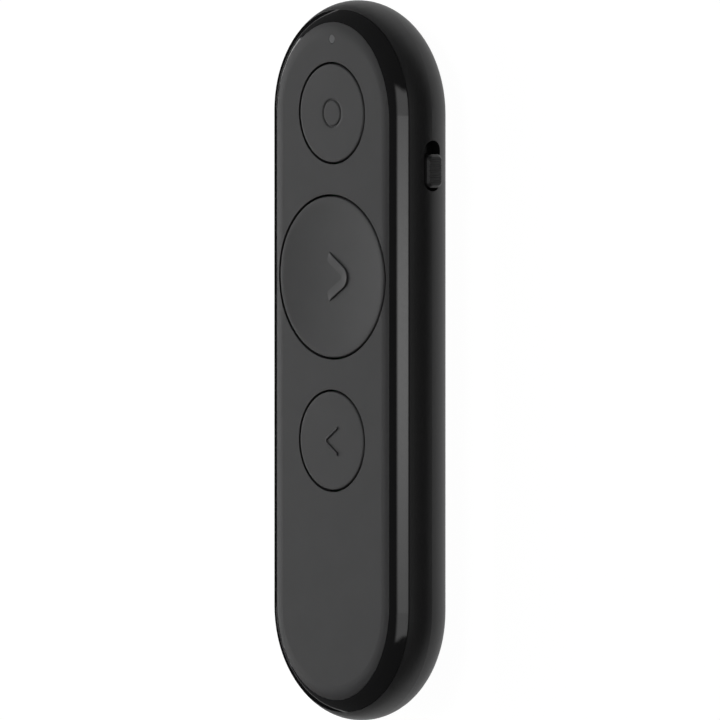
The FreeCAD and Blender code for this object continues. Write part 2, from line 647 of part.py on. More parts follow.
def battery_door():
    """The twist door: coin slot outside, a ring with bayonet lugs inside."""
    ring_out = CELL_RADIUS + FREE + DOOR_RING
    plate = disc(DOOR_RADIUS, DOOR_RECESS, DOOR_TOP, y=NEXT_Y)
    ring = cut(disc(ring_out, DOOR_TOP, LUG_TOP, y=NEXT_Y), disc(CELL_RADIUS + EASY, DOOR_TOP, LUG_TOP, y=NEXT_Y))
    lugs = ring_sectors(ring_out - DOOR_RING / 2, ring_out + DOOR_LUG_REACH, LUG_BASE, LUG_TOP, NEXT_Y,
                        -DOOR_LUG_ANGLE / 2, DOOR_LUG_ANGLE, DOOR_LUGS)
    door = fuse(plate, ring, *lugs)
    slot_half = COIN_SLOT_WIDTH / 2
    slot = box(-COIN_SLOT_REACH, COIN_SLOT_REACH, NEXT_Y - slot_half, NEXT_Y + slot_half,
               DOOR_RECESS, DOOR_RECESS + COIN_SLOT_DEPTH)
    return cut(door, slot)


def contact_positive():
    """A strip against the cell's rim, with its leg up to the board."""
    rim_x = -CELL_RADIUS - SNUG
    leg_x = NICHE_X + LEAD_GAP
    top = BAY_CEILING - SNUG
    low = top - CONTACT_THICKNESS
    strip = contact_slot(rim_x - CONTACT_THICKNESS, rim_x, 0.0, LUG_TOP + SNUG + CONTACT_LIFT + EASY, top)
    bridge = contact_slot(leg_x, rim_x, 0.0, low, top)
    leg = contact_slot(leg_x, leg_x + CONTACT_THICKNESS, 0.0, low, BOARD_BOTTOM)
    return fuse(strip, bridge, leg)


def contact_negative():
    """A leaf under the bay's ceiling that bows down to the cell."""
    top = BAY_CEILING - SNUG / 2
    low = top - CONTACT_THICKNESS
    leaf = contact_slot(LEAF_START, LEAF_END, 0.0, low, top)
    dimple = disc(DIMPLE_RADIUS, CELL_TOP + SNUG, low + CONTACT_THICKNESS / 2, x=DIMPLE_X, y=NEXT_Y)
    leg = contact_slot(LEAF_END - CONTACT_THICKNESS, LEAF_END, 0.0, low, BOARD_BOTTOM)
    return fuse(leaf, dimple, leg)


def battery_cell():
    can_top = CELL_TOP - CELL_CAP_HEIGHT
    can = disc(CELL_RADIUS, CELL_BOTTOM, can_top, y=NEXT_Y)
    cap = disc(CELL_RADIUS - CELL_CAP_EDGE, can_top, CELL_TOP, y=NEXT_Y)
    return fuse(can, cap)


def laser_barrel():
    """A brass tube, bored from both ends for the lens and the diode."""
    barrel = along_y(BARREL_RADIUS, BARREL_BACK, BARREL_FRONT, LASER_Z)
    front_bore = along_y(LENS_RADIUS + SNUG, BARREL_FRONT - LENS_SEAT, BARREL_FRONT, LASER_Z)
    beam_bore = along_y(BEAM_RADIUS, BARREL_BACK, BARREL_FRONT, LASER_Z)
    back_bore = along_y(DIODE_RADIUS + SNUG, BARREL_BACK, BARREL_BACK + DIODE_LENGTH, LASER_Z)
    return cut(barrel, front_bore, beam_bore, back_bore)


def laser_diode():
    """The diode's can, with two legs bent up to the board."""
    pieces = [along_y(DIODE_RADIUS, BARREL_BACK, BARREL_BACK + DIODE_LENGTH - SNUG, LASER_Z)]
    half = DIODE_LEG / 2
    bend_y = BARREL_BACK - DIODE_LEG_BEND
    for x in (-2 * DIODE_LEG, 2 * DIODE_LEG):
        pieces.append(box(x - half, x + half, bend_y, BARREL_BACK, LASER_Z - half, LASER_Z + half))
        pieces.append(box(x - half, x + half, bend_y, bend_y + DIODE_LEG, LASER_Z - half, BOARD_BOTTOM))
    return fuse(*pieces)


def laser_lens():
    """A disc with a domed front."""
    back = BARREL_FRONT - LENS_SEAT + SNUG
    edge = BARREL_FRONT - LENS_SETBACK
    dome_radius = LENS_RADIUS * 1.6
    dome_depth = dome_radius - math.sqrt(dome_radius ** 2 - LENS_RADIUS ** 2)
    dome = Part.makeSphere(dome_radius, V(0, edge + dome_depth - dome_radius, LASER_Z))
    return fuse(along_y(LENS_RADIUS, back, edge, LASER_Z),
                dome.common(along_y(LENS_RADIUS, back, BARREL_FRONT, LASER_Z)))


def laser_window(body):
    """A clear plug in the end wall, its face following the body."""
    plug = along_y(WINDOW_RADIUS, BARREL_FRONT + BARREL_FROM_WALL / 6, LENGTH, LASER_Z)
    return plug.common(pill_body(EASY)).common(body)


def light_pipe():
    """A clear pin in the plate, with a wider foot over the LED."""
    neck = disc(LIGHT_RADIUS, SEAM_Z - SNUG, THICKNESS, y=LIGHT_Y)
    foot = disc(LIGHT_RADIUS + LIGHT_FOOT, BOARD_TOP + LED_SIZE[2] + SNUG, SEAM_Z - SNUG, y=LIGHT_Y)
    return fuse(neck, foot)


def on_board(size, x, y):
    """A small block standing on the board, its middle at x and y."""
    length, width, height = size
    return box(x - length / 2, x + length / 2, y - width / 2, y + width / 2, BOARD_TOP, BOARD_TOP + height)


def radio_chip():
    """The radio chip, with the dimple that marks its first pin."""
    chip = on_board((CHIP_SIDE, CHIP_SIDE, CHIP_HEIGHT), 0, CHIP_Y)
    corner = CHIP_SIDE / 2 - 2 * CHIP_DOT
    top = BOARD_TOP + CHIP_HEIGHT
    return cut(chip, disc(CHIP_DOT, top - CHIP_DOT / 3, top, x=-corner, y=CHIP_Y + corner))


def crystal():
    can = on_board(CRYSTAL_SIZE, CHIP_SIDE / 2 + PART_SPACE + CRYSTAL_SIZE[0] / 2, CHIP_Y)
    uprights = [edge for edge in can.Edges if edge.BoundBox.ZLength > CRYSTAL_ROUND]
    return can.makeFillet(CRYSTAL_ROUND, uprights)


def board_passives():
    """Two rows of capacitors and resistors beside the chip and a coil below it, each its own solid."""
    capacitor_x = -CHIP_SIDE / 2 - PART_SPACE - CAPACITOR_SIZE[0] / 2
    resistor_x = capacitor_x - PART_SPACE
    pieces = [on_board(INDUCTOR_SIZE, 0, CHIP_Y - CHIP_SIDE / 2 - PART_SPACE - INDUCTOR_SIZE[1] / 2)]
    for row in range(PASSIVE_ROWS):
        y = CHIP_Y + (row - (PASSIVE_ROWS - 1) / 2) * PASSIVE_PITCH
        pieces.append(on_board(CAPACITOR_SIZE, capacitor_x, y))
        pieces.append(on_board(RESISTOR_SIZE, resistor_x, y))
    return Part.Compound(pieces)


def housing_screws():
    """Two small pan-head screws with a cross recess, driven in from the back."""
    cross_length, cross_width, cross_depth = SCREW_CROSS
    head_top = SCREW_RECESS + SCREW_HEAD_HEIGHT
    screws = []
    for y in SCREW_YS:
        head = disc(SCREW_HEAD_RADIUS, SCREW_RECESS, head_top, y=y)
        shank = disc(SCREW_RADIUS, head_top, DECK_Z - SCREW_TIP, y=y)
        bars = []
        for half_x, half_y in ((cross_length / 2, cross_width / 2), (cross_width / 2, cross_length / 2)):
            bars.append(box(-half_x, half_x, y - half_y, y + half_y, SCREW_RECESS, SCREW_RECESS + cross_depth))
        screws.append(cut(fuse(head, shank), *bars))
    return Part.Compound(screws)


def receiver_head():
    half = RECEIVER_WIDTH / 2
    head = box(-half, half, BAY_START_Y, PLUG_START_Y, RECEIVER_BOTTOM, RECEIVER_TOP)
    back = [edge for edge in head.Edges
            if abs(edge.BoundBox.YMin - BAY_START_Y) < 0.001 and edge.BoundBox.YLength < 0.001]
    return head.makeFillet(HEAD_ROUND, back)


def receiver_plug():
    """The plug's metal sleeve, open at its far end."""
    half = PLUG_WIDTH / 2
    low = RECEIVER_MIDDLE - PLUG_THICKNESS / 2
    high = RECEIVER_MIDDLE + PLUG_THICKNESS / 2
    end_y = PLUG_START_Y + PLUG_LENGTH
    sleeve = box(-half, half, PLUG_START_Y, end_y, low, high)
    inside = box(-half + PLUG_SHEET, half - PLUG_SHEET, PLUG_START_Y, end_y, low + PLUG_SHEET, high - PLUG_SHEET)
    window_start = PLUG_START_Y + PLUG_WINDOW_FROM_HEAD
    window_half = PLUG_WINDOW[0] / 2
    windows = [box(x - window_half, x + window_half, window_start, window_start + PLUG_WINDOW[1],
                   low, low + PLUG_SHEET) for x in (-PLUG_WINDOW_X, PLUG_WINDOW_X)]
    return cut(sleeve, inside, *windows)


def tongue_top():
    return RECEIVER_MIDDLE + PLUG_THICKNESS / 2 - PLUG_SHEET - SNUG


def receiver_tongue():
    half = PLUG_WIDTH / 2 - PLUG_SHEET - SNUG
    return box(-half, half, PLUG_START_Y, PLUG_START_Y + PLUG_LENGTH - TONGUE_SETBACK,
               tongue_top() - TONGUE_THICKNESS, tongue_top())


def receiver_contacts():
    """Four gold strips on the tongue."""
    face = tongue_top() - TONGUE_THICKNESS
    half = STRIP_WIDTH / 2
    return Part.Compound([box(x - half, x + half, PLUG_START_Y + STRIP_FROM_HEAD,
                              PLUG_START_Y + PLUG_LENGTH - STRIP_SETBACK, face - STRIP_THICKNESS, face)
                          for x in STRIP_XS])


def main():
    os.makedirs("parts", exist_ok=True)
    body = pill_body()
    nodes = {
        "back_shell": back_shell(body),
        "front_bezel": front_bezel(body),
        "face_plate": face_plate(body),
        "status_light_pipe": light_pipe(),
        "status_led": on_board(LED_SIZE, 0, LIGHT_Y),
        "circuit_board": circuit_board(),
        "radio_chip": radio_chip(),
        "crystal": crystal(),
        "board_passives": board_passives(),
        "power_slider": power_slider(),
        "power_switch_lever": lever_box(0.0),
        "power_switch_base": power_switch_base(),
        "battery_cell": battery_cell(),
        "battery_contact_positive": contact_positive(),
        "battery_contact_negative": contact_negative(),
        "battery_door": battery_door(),
        "laser_barrel": laser_barrel(),
        "laser_diode": laser_diode(),
        "laser_lens": laser_lens(),
        "laser_window": laser_window(body),
        "receiver_head": receiver_head(),
        "receiver_plug": receiver_plug(),
        "receiver_tongue": receiver_tongue(),
        "receiver_contacts": receiver_contacts(),
        "housing_screws": housing_screws(),
    }
    for name, (centre_y, radius) in BUTTONS.items():
        nodes[name + "_button"] = button_cap(name, body)
        nodes[name + "_switch_base"] = switch_base(centre_y)
        nodes[name + "_switch_plunger"] = switch_plunger(centre_y)
    for name, shape in nodes.items():
        shape.exportStep("parts/" + name + ".step")
        print(name, len(shape.Solids), round(shape.Volume, 2), shape.isValid())


main()
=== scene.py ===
import math

import bmesh
import bpy
from mathutils import Matrix, Vector


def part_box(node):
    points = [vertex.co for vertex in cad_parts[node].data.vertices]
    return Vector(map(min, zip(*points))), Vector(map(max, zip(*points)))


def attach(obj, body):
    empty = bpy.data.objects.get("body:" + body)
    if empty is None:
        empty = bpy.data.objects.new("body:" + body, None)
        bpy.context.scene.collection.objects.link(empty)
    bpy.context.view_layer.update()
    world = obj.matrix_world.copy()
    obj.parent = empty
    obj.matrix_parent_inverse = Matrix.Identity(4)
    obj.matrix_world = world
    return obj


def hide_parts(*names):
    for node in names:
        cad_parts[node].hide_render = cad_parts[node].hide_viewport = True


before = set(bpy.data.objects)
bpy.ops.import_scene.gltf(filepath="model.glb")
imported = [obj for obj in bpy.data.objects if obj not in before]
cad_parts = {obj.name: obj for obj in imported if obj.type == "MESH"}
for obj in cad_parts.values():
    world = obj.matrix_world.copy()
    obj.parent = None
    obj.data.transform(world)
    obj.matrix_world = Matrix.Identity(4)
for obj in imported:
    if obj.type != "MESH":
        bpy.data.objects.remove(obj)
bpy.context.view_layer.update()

MM = 0.001

# How the photograph looks at the object: turned to the right of the face's normal, and a little
# above the middle, towards the laser end
CAMERA_TURN = math.radians(49.82)
CAMERA_RISE = math.radians(2.573)
CAMERA_DISTANCE = 4.8
PICTURE_WIDTH = 107.81 * MM
PICTURE_RIGHT = 4.21 * MM
PICTURE_UP = 0.21 * MM
SENSOR_WIDTH = 36.0

FACE_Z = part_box("face_plate")[1].z

# Lamps: turn and rise in degrees, then distance, width and height in metres, then brightness
STRIP_SOFTBOX = (29.8, -2.0, 0.60, 0.455, 0.56, 3.0)
KEY_SOFTBOX = (-22.0, 26.0, 0.80, 0.50, 0.50, 1.9)
LEFT_SOFTBOX = (-68.0, 0.0, 0.60, 0.34, 0.40, 2.6)

# How the strip fades, in shares of its size
STRIP_SIDE_FADE = 0.25
STRIP_END_FADE = 0.1
STRIP_CORE = 0.11
STRIP_OUTER_LEVEL = 0.45

ROOM_LEVEL = 0.1
CARD_GAP = 24 * MM
LEFT_CARD_REACH = 400 * MM
RIGHT_CARD_REACH = 160 * MM
CARD_HALF_LENGTH = 0.2
CARD_LIFT = 0.1 * MM
CARD_SHADE = 0.01
FLOOR_HALF = 1.5
FLOOR_SHADE = 0.8
FLOOR_GLOW = 1.22
FLOOR_GLOW_SHARE = 0.8

# Grain of the finishes
MOTTLE_SIZE = 6 * MM
PLASTIC_ROUGHNESS_SPREAD = 0.04
METAL_GRAIN = 0.08 * MM
METAL_LINE_STRETCH = 12.0
METAL_GRAIN_DEPTH = 0.004 * MM
METAL_ROUGHNESS_SPREAD = 0.06
CLEAR_HAZE_SIZE = 0.5 * MM
CLEAR_ROUGHNESS_SPREAD = 0.06
CLEAR_IOR = 1.49
TRACK_PITCH = 3 * MM
TRACK_GAP = 0.06
TRACK_DEPTH = 0.02 * MM
BOARD_WEAVE = 0.4 * MM

# The button caps, in millimetres as the CAD has them
FRONT = 11.1
FRONT_FLAT_HALF = 11.43
FRONT_ROUND = 5.4
CAP_FOOT = 8.57
CAP_WALL = 1.0
CAP_TOP = 1.1
CAP_EDGE = 0.22
STEM_FOOT = 9.1
STEM_RADIUS = 1.5
LUG_REACH = 1.2
LUG_TOP = 9.12
LUG_WIDTH = 3.0
DISH_DEPTH = 0.5
RING_RADIUS = 2.0
RING_WIDTH = 0.5
RING_DEPTH = 0.14
CAPS = {
    "pointer": {"centre_y": 37.2, "radius": 7.4, "body": "pointer_key", "segments": 112},
    "next": {"centre_y": 12.65, "radius": 12.11, "body": "next_key", "segments": 144},
    "back": {"centre_y": -11.9, "radius": 7.4, "body": "back_key", "segments": 112},
}
LUG_TURNS = (45, 135, 225, 315)
TOP_STEPS = 14
RING_STEPS = 12
EDGE_STEPS = 5
SHARP_ANGLE = 50

# The raised marks. Their sharp side faces +X, and the other side slopes off gently. A ridge's points
# are the distance from the sharp line and the height
MARK_STEPS = 12
MARK_SINK = 0.03
MARK_END_SHARE = 0.35
NEXT_MARK = {"way": 1, "tip_x": 3.2, "round": 1.86, "slope": 32.5, "end_x": -1.0, "taper": 1.3}
BACK_MARK = {"way": -1, "tip_x": -1.05, "round": 0.2, "slope": 34.0, "end_x": 1.3, "taper": 0.0}
NEXT_RIDGE = ((-0.02, -0.03), (0.02, 0.13), (0.05, 0.21), (0.12, 0.24), (0.25, 0.215), (0.45, 0.165),
              (0.8, 0.095), (1.2, 0.04), (1.65, -0.01))
BACK_RIDGE = ((-0.02, -0.03), (0.04, 0.1), (0.08, 0.17), (0.14, 0.2), (0.24, 0.18), (0.36, 0.1),
              (0.5, -0.02))


def rgb(*channels):
    """A colour from display values 0 to 255, as the shader wants it."""
    linear = []
    for channel in channels:
        value = channel / 255
        linear.append(value / 12.92 if value <= 0.04045 else ((value + 0.055) / 1.055) ** 2.4)
    return (*linear, 1.0)


class Nodes:
    """A short way to write one material's node tree."""

    def __init__(self, name):
        self.material = bpy.data.materials.new(name)
        self.material.use_nodes = True
        self.tree = self.material.node_tree
        self.shader = self.tree.nodes["Principled BSDF"]
        self.output = self.tree.nodes["Material Output"]

    def add(self, kind, **settings):
        node = self.tree.nodes.new(kind)
        for key, value in settings.items():
            setattr(node, key, value)
        return node

    def link(self, source, target):
        self.tree.links.new(source, target)

    def place(self):
        return self.add("ShaderNodeTexCoord").outputs["Object"]

    def noise(self, size, detail, roughness=0.5):
        """Noise whose grains are about size metres across."""
        node = self.add("ShaderNodeTexNoise")
        node.inputs["Scale"].default_value = 1 / size
        node.inputs["Detail"].default_value = detail
        node.inputs["Roughness"].default_value = roughness
        self.link(self.place(), node.inputs["Vector"])
        return node.outputs["Fac"]

    def spread(self, source, low, high):
        """Stretches the usual range of noise to low up to high."""
        node = self.add("ShaderNodeMapRange")
        node.inputs["From Min"].default_value = 0.3
        node.inputs["From Max"].default_value = 0.7
        node.inputs["To Min"].default_value = low
        node.inputs["To Max"].default_value = high
        self.link(source, node.inputs["Value"])
        return node.outputs["Result"]

    def blend(self, factor, first, second):
        node = self.add("ShaderNodeMix", data_type="RGBA")
        node.inputs[6].default_value = first
        node.inputs[7].default_value = second
        self.link(factor, node.inputs[0])
        return node.outputs[2]

    def bump(self, height, distance):
        node = self.add("ShaderNodeBump")
        node.inputs["Strength"].default_value = 1.0
        node.inputs["Distance"].default_value = distance
        self.link(height, node.inputs["Height"])
        return node.outputs["Normal"]

    def matte(self, shade):
        """Makes the shader one dull grey, for what surrounds the object."""
        self.shader.inputs["Base Color"].default_value = (shade, shade, shade, 1)
        self.shader.inputs["Roughness"].default_value = 1.0
        self.shader.inputs["Specular IOR Level"].default_value = 0.0


def add_math(tree, operation, first, second=None):
    """A math node on one socket and, if given, a second socket or a number."""
    node = tree.nodes.new("ShaderNodeMath")
    node.operation = operation
    tree.links.new(first, node.inputs[0])
    if isinstance(second, float):
        node.inputs[1].default_value = second
    elif second is not None:
        tree.links.new(second, node.inputs[1])
    return node.outputs[0]


def add_object(name, bm):
    """Turns the finished bmesh into an object in the scene."""
    mesh = bpy.data.meshes.new(name)
    bm.to_mesh(mesh)
    bm.free()
    made = bpy.data.objects.new(name, mesh)
    bpy.context.scene.collection.objects.link(made)
    return made


def scaled(colour, factor):
    return (*(min(1.0, channel * factor) for channel in colour[:3]), 1.0)


def plastic(name, colour, roughness, grain, grain_depth, vary=0.12, gloss=0.5):
    """Moulded or coated plastic: slight mottling, a fine grain in the surface and uneven gloss."""
    nodes = Nodes(name)
    cloudy = nodes.noise(MOTTLE_SIZE, 3.0)
    tint = nodes.blend(nodes.spread(cloudy, 0.0, 1.0), scaled(colour, 1 - vary), scaled(colour, 1 + vary))
    nodes.link(tint, nodes.shader.inputs["Base Color"])
    fine = nodes.noise(grain, 4.0, 0.6)
    uneven = nodes.spread(fine, roughness - PLASTIC_ROUGHNESS_SPREAD, roughness + PLASTIC_ROUGHNESS_SPREAD)
    nodes.link(uneven, nodes.shader.inputs["Roughness"])
    nodes.link(nodes.bump(fine, grain_depth), nodes.shader.inputs["Normal"])
    nodes.shader.inputs["Specular IOR Level"].default_value = gloss
    return nodes.material


def metal(name, colour, roughness):
    """Drawn or plated metal with fine lines along one way."""
    nodes = Nodes(name)
    mapping = nodes.add("ShaderNodeMapping")
    mapping.inputs["Scale"].default_value = (1.0, METAL_LINE_STRETCH, 1.0)
    nodes.link(nodes.place(), mapping.inputs["Vector"])
    lines = nodes.add("ShaderNodeTexNoise")
    lines.inputs["Scale"].default_value = 1 / METAL_GRAIN / METAL_LINE_STRETCH
    lines.inputs["Detail"].default_value = 4.0
    nodes.link(mapping.outputs["Vector"], lines.inputs["Vector"])
    fine = lines.outputs["Fac"]
    tint = nodes.blend(nodes.spread(fine, 0.0, 1.0), scaled(colour, 0.85), scaled(colour, 1.1))
    nodes.link(tint, nodes.shader.inputs["Base Color"])
    uneven = nodes.spread(fine, roughness - METAL_ROUGHNESS_SPREAD, roughness + METAL_ROUGHNESS_SPREAD)
    nodes.link(uneven, nodes.shader.inputs["Roughness"])
    nodes.link(nodes.bump(fine, METAL_GRAIN_DEPTH), nodes.shader.inputs["Normal"])
    nodes.shader.inputs["Metallic"].default_value = 1.0
    return nodes.material


def clear(name, colour, roughness, weight):
    """Clear or tinted moulded plastic."""
    nodes = Nodes(name)
    haze = nodes.noise(CLEAR_HAZE_SIZE, 3.0)
    tint = nodes.blend(nodes.spread(haze, 0.0, 1.0), scaled(colour, 0.92), scaled(colour, 1.05))
    nodes.link(tint, nodes.shader.inputs["Base Color"])
    uneven = nodes.spread(haze, roughness, roughness + CLEAR_ROUGHNESS_SPREAD)
    nodes.link(uneven, nodes.shader.inputs["Roughness"])
    nodes.shader.inputs["Transmission Weight"].default_value = weight
    nodes.shader.inputs["IOR"].default_value = CLEAR_IOR
    return nodes.material


def board_mask(name):
    """Green solder mask with faint copper tracks under it."""
    nodes = Nodes(name)
    tracks = nodes.add("ShaderNodeTexBrick")
    tracks.inputs["Scale"].default_value = 1 / TRACK_PITCH
    tracks.inputs["Mortar Size"].default_value = TRACK_GAP
    tracks.inputs["Color1"].default_value = rgb(14, 74, 40)
    tracks.inputs["Color2"].default_value = rgb(12, 66, 36)
    tracks.inputs["Mortar"].default_value = rgb(30, 104, 58)
    nodes.link(nodes.place(), tracks.inputs["Vector"])
    nodes.link(tracks.outputs["Color"], nodes.shader.inputs["Base Color"])
    weave = nodes.noise(BOARD_WEAVE, 3.0)
    nodes.link(nodes.spread(weave, 0.25, 0.38), nodes.shader.inputs["Roughness"])
    nodes.link(nodes.bump(tracks.outputs["Fac"], TRACK_DEPTH), nodes.shader.inputs["Normal"])
    return nodes.material


def finishes():
    """One material for each kind of surface."""
    return {
        "shell": plastic("shell_black", rgb(38, 38, 39), 0.5, 0.12 * MM, 0.010 * MM, gloss=0.5),
        "bezel": plastic("bezel_black", rgb(28, 28, 29), 0.07, 0.6 * MM, 0.0006 * MM, gloss=0.5),
        "plate": plastic("plate_grey", rgb(72, 72, 73), 0.55, 0.1 * MM, 0.008 * MM, vary=0.04, gloss=0.4),
        "button": plastic("button_grey", rgb(70, 70, 71), 0.52, 0.1 * MM, 0.008 * MM, vary=0.04, gloss=0.4),
        "knob": plastic("knob_black", rgb(28, 28, 29), 0.5, 0.1 * MM, 0.008 * MM),
        "light": clear("light_frost", rgb(104, 105, 107), 0.35, 0.2),
        "led": plastic("led_body", rgb(225, 222, 205), 0.4, 0.1 * MM, 0.004 * MM),
        "board": board_mask("board_green"),
        "chip": plastic("chip_black", rgb(38, 38, 40), 0.5, 0.1 * MM, 0.006 * MM),
        "part": plastic("part_tan", rgb(170, 148, 116), 0.4, 0.1 * MM, 0.004 * MM, vary=0.25),
        "steel": metal("plain_steel", rgb(190, 190, 192), 0.3),
        "dark_plastic": plastic("switch_black", rgb(32, 32, 34), 0.45, 0.1 * MM, 0.006 * MM),
        "cell": metal("cell_nickel", rgb(205, 205, 205), 0.22),
        "spring": metal("contact_nickel", rgb(205, 198, 176), 0.25),
        "brass": metal("turned_brass", rgb(202, 164, 92), 0.28),
        "lens": clear("lens_glass", rgb(235, 240, 240), 0.02, 0.95),
        "window": clear("window_red", rgb(96, 14, 14), 0.05, 0.6),
        "receiver": plastic("receiver_black", rgb(26, 26, 27), 0.42, 0.12 * MM, 0.008 * MM),
        "tongue": plastic("tongue_white", rgb(214, 214, 210), 0.4, 0.12 * MM, 0.004 * MM),
        "gold": metal("contact_gold", rgb(226, 186, 110), 0.2),
        "screw": metal("screw_zinc", rgb(70, 70, 74), 0.35),
    }


NODE_FINISH = {
    "back_shell": "shell", "front_bezel": "bezel", "face_plate": "plate",
    "pointer_button": "button", "next_button": "button", "back_button": "button",
    "status_light_pipe": "light", "status_led": "led", "circuit_board": "board",
    "radio_chip": "chip", "crystal": "steel", "board_passives": "part",
    "power_slider": "knob", "power_switch_lever": "dark_plastic", "power_switch_base": "steel",
    "battery_cell": "cell", "battery_contact_positive": "spring", "battery_contact_negative": "spring",
    "battery_door": "shell", "laser_barrel": "brass", "laser_diode": "steel", "laser_lens": "lens",
    "laser_window": "window", "receiver_head": "receiver", "receiver_plug": "steel",
    "receiver_tongue": "tongue", "receiver_contacts": "gold", "housing_screws": "screw",
    "pointer_switch_base": "steel", "next_switch_base": "steel", "back_switch_base": "steel",
    "pointer_switch_plunger": "dark_plastic", "next_switch_plunger": "dark_plastic",
    "back_switch_plunger": "dark_plastic",
}


def dress(finish):
    """Gives each CAD node its finish."""
    for name, key in NODE_FINISH.items():
        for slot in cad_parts[name].material_slots:
            slot.material = finish[key]


def front_drop(x):
    """How far the rounded front lies below its flat middle, x to the side of the middle line."""
    beyond = max(0.0, abs(x) - FRONT_FLAT_HALF)
    return FRONT_ROUND - math.sqrt(FRONT_ROUND ** 2 - beyond ** 2)


def cap_surface(name, distance):
    """The height of a cap's top face, that far from its middle."""
    if name == "next":
        share = distance / CAPS[name]["radius"]
        return FRONT - DISH_DEPTH * (1 - share ** 2)
    if name == "pointer":
        off_ring = abs(distance - RING_RADIUS) / (RING_WIDTH / 2)
        if off_ring < 1:
            return FRONT - RING_DEPTH * (1 + math.cos(math.pi * off_ring)) / 2
    return FRONT


def cap_outline(name):
    """Distance from the middle and height, along half of a cap's section: over the top and back inside."""
    radius = CAPS[name]["radius"]
    steps = {0.0, radius - CAP_EDGE}
    steps.update(radius * step / TOP_STEPS for step in range(1, TOP_STEPS))
    if name == "pointer":
        steps.update(RING_RADIUS + RING_WIDTH * (step / RING_STEPS - 0.5) for step in range(RING_STEPS + 1))
    outline = [(step, cap_surface(name, step)) for step in sorted(steps) if step <= radius - CAP_EDGE]
    edge_z = outline[-1][1]
    for step in range(1, EDGE_STEPS + 1):
        angle = math.radians(90 * step / EDGE_STEPS)
        outline.append((radius - CAP_EDGE + CAP_EDGE * math.sin(angle),
                        edge_z - CAP_EDGE + CAP_EDGE * math.cos(angle)))
    inner = radius - CAP_WALL
    outline += [(radius, CAP_FOOT), (inner, CAP_FOOT), (inner, FRONT - CAP_TOP),
                (STEM_RADIUS, FRONT - CAP_TOP), (STEM_RADIUS, STEM_FOOT), (0.0, STEM_FOOT)]
    return outline


def turn_outline(bm, outline, centre_y, segments):
    """Turns a half section about the cap's middle line."""
    rings = []
    for distance, z in outline:
        ring = []
        for step in range(segments if distance > 0 else 1):
            angle = 2 * math.pi * step / segments
            x, y = distance * math.cos(angle), distance * math.sin(angle)
            ring.append(bm.verts.new((x, centre_y + y, z - (front_drop(x) if z > CAP_FOOT else 0))))
        rings.append(ring)
    for ring, after in zip(rings, rings[1:]):
        for step in range(segments):
            corners = [ring[step % len(ring)], after[step % len(after)],
                       after[(step + 1) % len(after)], ring[(step + 1) % len(ring)]]
            bm.faces.new(list(dict.fromkeys(corners)))


def add_lugs(bm, radius, centre_y):
    """The four feet that keep a cap under the housing's edge."""
    half = LUG_WIDTH / 2 / radius
    for turn in LUG_TURNS:
        outline = []
        for reach, angles in ((-CAP_WALL / 2, (-1, 0, 1)), (LUG_REACH, (1, 0, -1))):
            outline += [(radius + reach, math.radians(turn) + half * side) for side in angles]
        low, high = [[bm.verts.new((r * math.cos(a), centre_y + r * math.sin(a), z)) for r, a in outline]
                     for z in (CAP_FOOT, LUG_TOP)]
        bm.faces.new(low)
        bm.faces.new(reversed(high))
        count = len(outline)
        for step in range(count):
            after = (step + 1) % count
            bm.faces.new((low[step], high[step], high[after], low[after]))


def mark_path(mark):
    """The mark's sharp line from its top end to its lower end: place, and the way its gentle side lies."""
    slope = math.radians(mark["slope"])
    way, bend = mark["way"], mark["tip_x"] - mark["way"] * mark["round"]
    path = []
    for step in range(-MARK_STEPS, MARK_STEPS + 1):
        angle = (math.pi / 2 - slope) * -step / MARK_STEPS
        path.append((bend + way * mark["round"] * math.cos(angle), mark["round"] * math.sin(angle),
                     -math.cos(angle), -way * math.sin(angle)))
    arm = []
    x, y, soft_x, soft_y = path[0]
    for step in range(MARK_STEPS, 0, -1):
        share = step / MARK_STEPS
        end_x = x + (mark["end_x"] - x) * share
        arm.append((end_x, y + abs(end_x - x) * math.tan(slope), soft_x, soft_y))
    below = [(x, -y, soft_x, -soft_y) for x, y, soft_x, soft_y in reversed(arm)]
    return arm + path + below


def add_mark(bm, name, mark, ridge):
    """A raised chevron that stands on a cap's top face."""
    centre_y = CAPS[name]["centre_y"]
    slope = math.radians(mark["slope"])
    rows = []
    path = mark_path(mark)
    ends = (path[0], path[-1])
    for x, y, soft_x, soft_y in [path[0], *path, path[-1]]:
        left = abs(x - mark["end_x"]) / math.cos(slope)
        height_share = min(1.0, MARK_END_SHARE + left / mark["taper"]) if mark["taper"] else 1.0
        sink = 0
        if len(rows) in (0, len(path) + 1):
            height_share = 0.0
            sink = MARK_SINK
        row = []
        for off, height in ridge:
            px, py = x + off * soft_x, y + off * soft_y
            if mark["way"] < 0 and (x, y, soft_x, soft_y) in ends:
                slide = -off * soft_x
                px, py = x, py + math.copysign(slide * math.tan(slope), y)
            base = cap_surface(name, math.hypot(px, py))
            rise = height * height_share if height > 0 else height
            row.append(bm.verts.new((px, centre_y + py, base + rise - sink)))
        rows.append(row)
    for row, after in zip(rows, rows[1:]):
        for step in range(len(ridge) - 1):
            bm.faces.new((row[step], row[step + 1], after[step + 1], after[step]))


